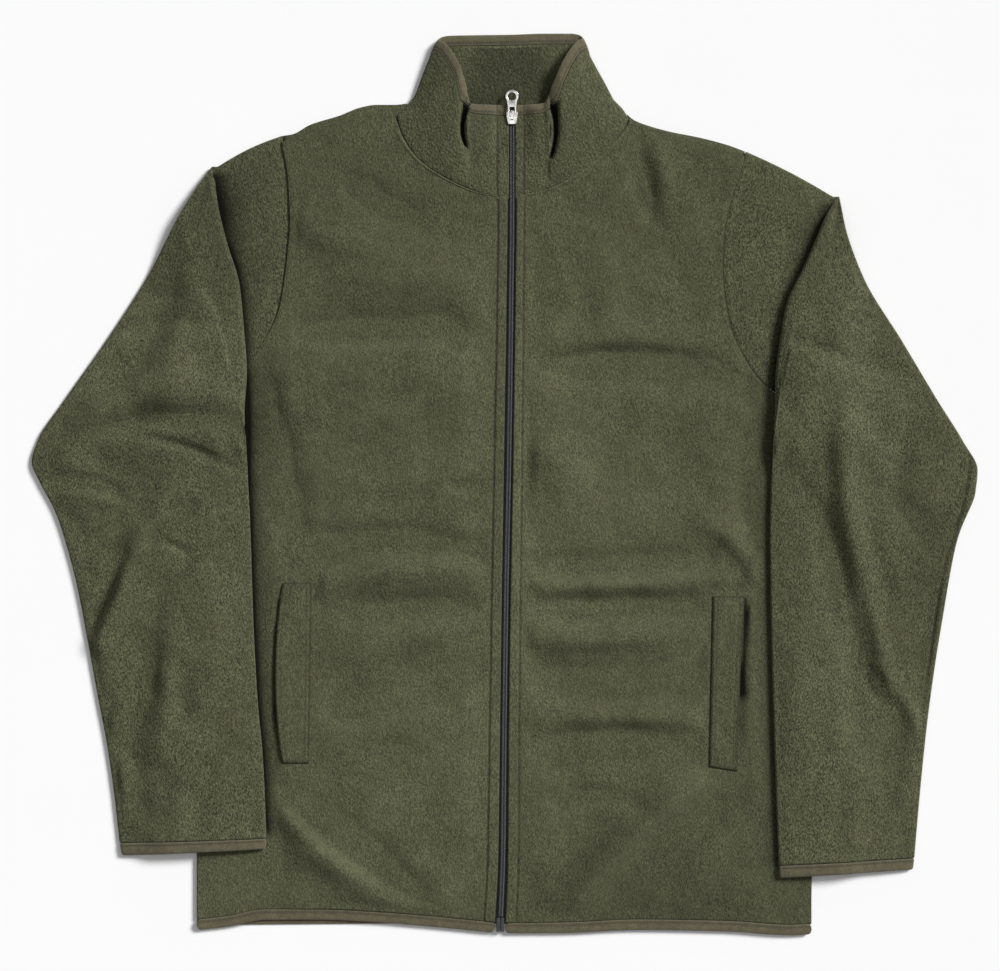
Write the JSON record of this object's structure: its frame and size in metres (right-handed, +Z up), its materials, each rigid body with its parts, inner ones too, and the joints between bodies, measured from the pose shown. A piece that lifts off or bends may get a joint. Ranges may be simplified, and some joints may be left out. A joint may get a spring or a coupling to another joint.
{
  "type": "fleece jacket",
  "caption": "Long-sleeved fleece jacket with a stand collar, full zip, two upright hand pockets and bound edges, laid flat with its sleeves down.",
  "frame": {"origin": "on the surface that the jacket lies on, under the middle of its outline", "axes": "+X to the viewer's right across the sleeves, +Y from hem to collar, +Z up from the surface"},
  "size_m": [0.8501, 0.8104, 0.0194],
  "materials": {
    "fleece": "matt pebbled nap",
    "binding": "matt stretch binding",
    "zip_black": "matt",
    "zip_metal": "polished"
  },
  "bodies": {
    "jacket": {"back_panel": "fleece", "front_left": "fleece", "front_right": "fleece", "sleeve_left": "fleece", "sleeve_right": "fleece", "collar": "fleece", "collar_binding": "binding", "cuff_binding_left": "binding", "cuff_binding_right": "binding", "hem_binding_back": "binding", "hem_binding_front_left": "binding", "hem_binding_front_right": "binding", "pocket_welt_left": "fleece", "pocket_welt_right": "fleece", "zip_tape_left": "zip_black", "zip_tape_right": "zip_black", "zip_coil_left": "zip_black", "zip_coil_right": "zip_black", "zip_box": "zip_black", "zip_slider": "zip_metal"},
    "pull_tab": {"zip_pull_tab": "zip_metal"}
  },
  "joints": [
    {"name": "pull_tab_swing", "type": "hinge", "parent": "jacket", "child": "pull_tab", "pos_m": [0.0063, 0.3294, 0.0087], "axis": [1, 0, 0], "range_deg": [0, 175]}
  ]
}
